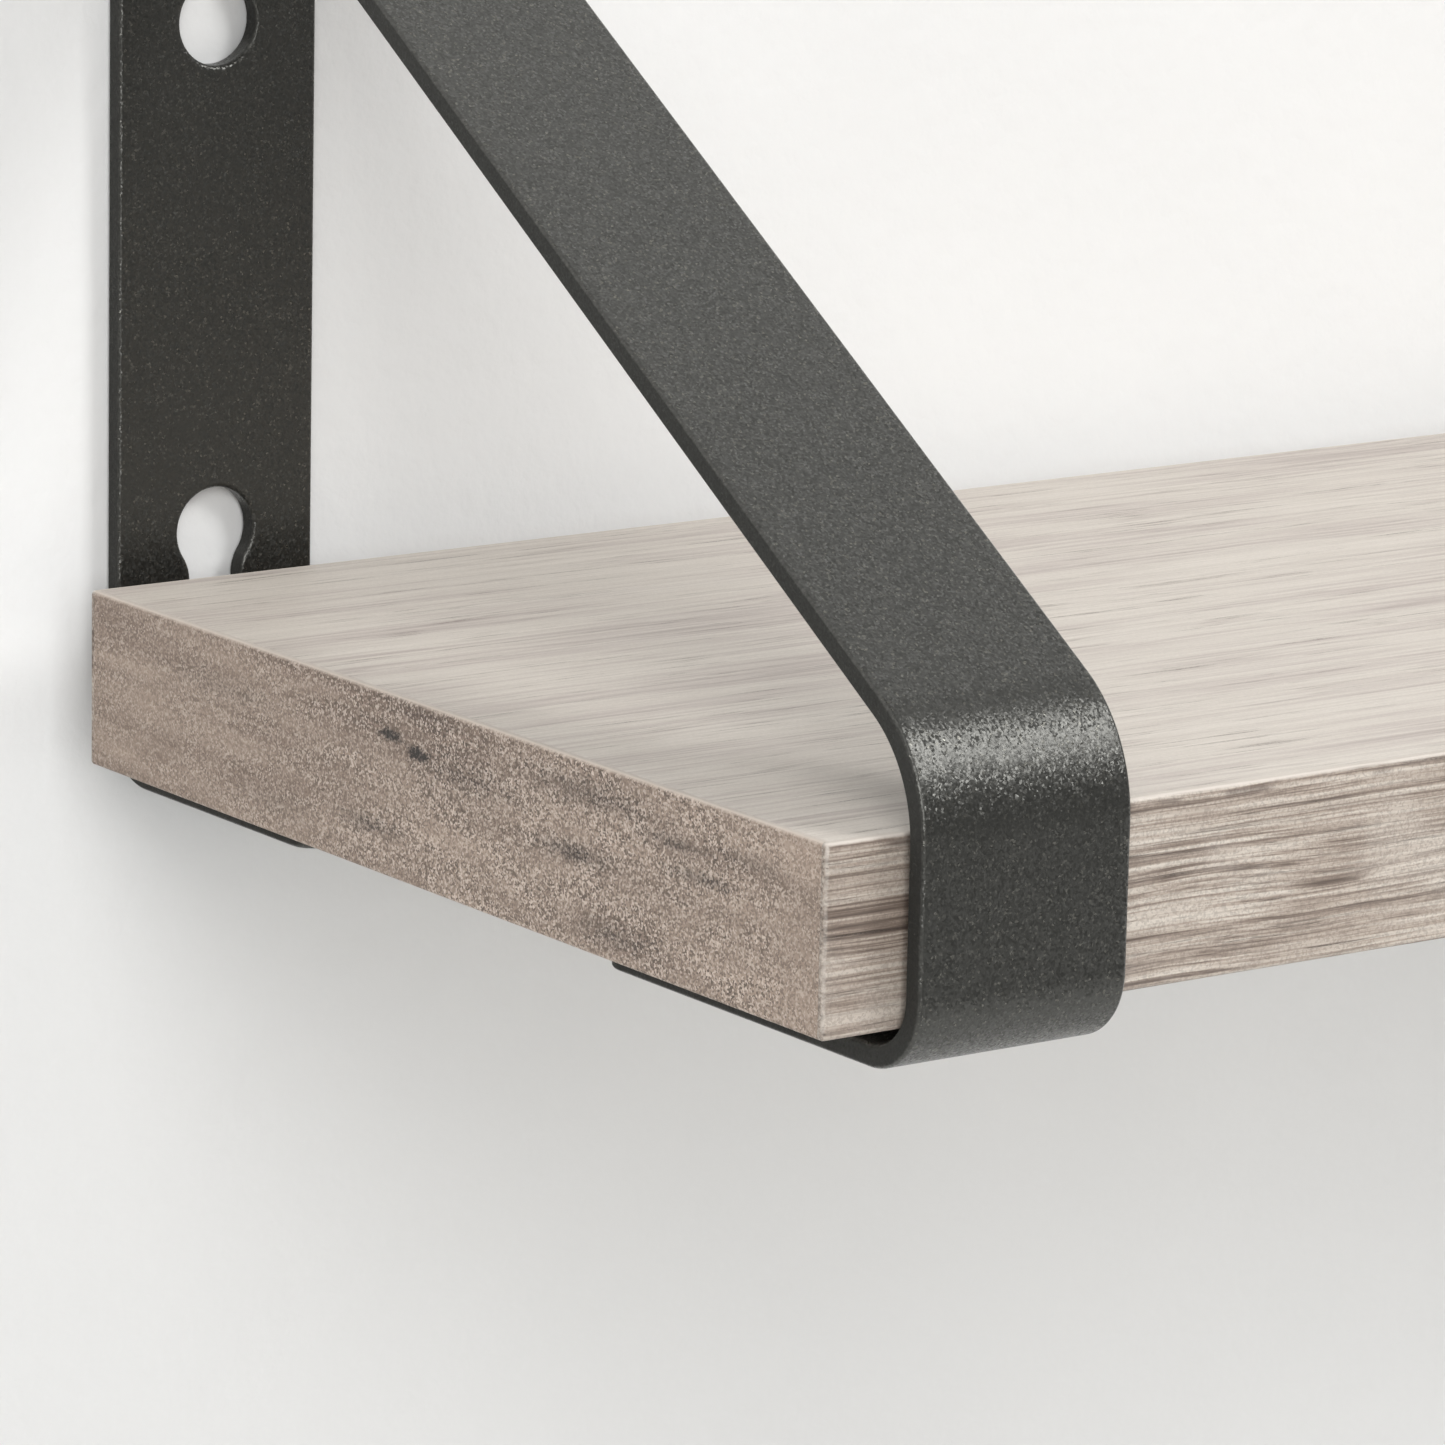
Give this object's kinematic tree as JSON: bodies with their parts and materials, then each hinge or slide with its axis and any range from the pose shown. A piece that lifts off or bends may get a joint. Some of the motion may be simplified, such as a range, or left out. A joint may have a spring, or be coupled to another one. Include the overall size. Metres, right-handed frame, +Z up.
{
  "type": "wall shelf",
  "caption": "Wall shelf: a wood-effect board on bent flat-strip brackets, each with a keyholed wall leg, a sloping brace and feet under the board.",
  "frame": {"origin": "on the wall plane, level with the board's top face and midway along the board", "axes": "+X along the board to the right as seen from the room, +Y into the wall, +Z up"},
  "size_m": [0.42, 0.1552, 0.1257],
  "materials": {
    "core_board": "raw particle board",
    "face_laminate": "grey-beige wood-effect laminate, satin",
    "edge_laminate": "grey-brown wood-effect edge band, matte",
    "powder_coat": "charcoal powder coat with a fine sparkle, satin",
    "rubber": "matte black",
    "screw_steel": "zinc plated"
  },
  "bodies": {
    "root": {"board_core": "core_board", "board_top_laminate": "face_laminate", "board_bottom_laminate": "face_laminate", "board_front_band": "edge_laminate", "board_rear_band": "edge_laminate", "board_left_band": "edge_laminate", "board_right_band": "edge_laminate", "left_bracket": "powder_coat", "right_bracket": "powder_coat", "left_front_pad": "rubber", "left_rear_pad": "rubber", "right_front_pad": "rubber", "right_rear_pad": "rubber", "left_front_screw": "screw_steel", "left_rear_screw": "screw_steel", "right_front_screw": "screw_steel", "right_rear_screw": "screw_steel"}
  },
  "joints": []
}
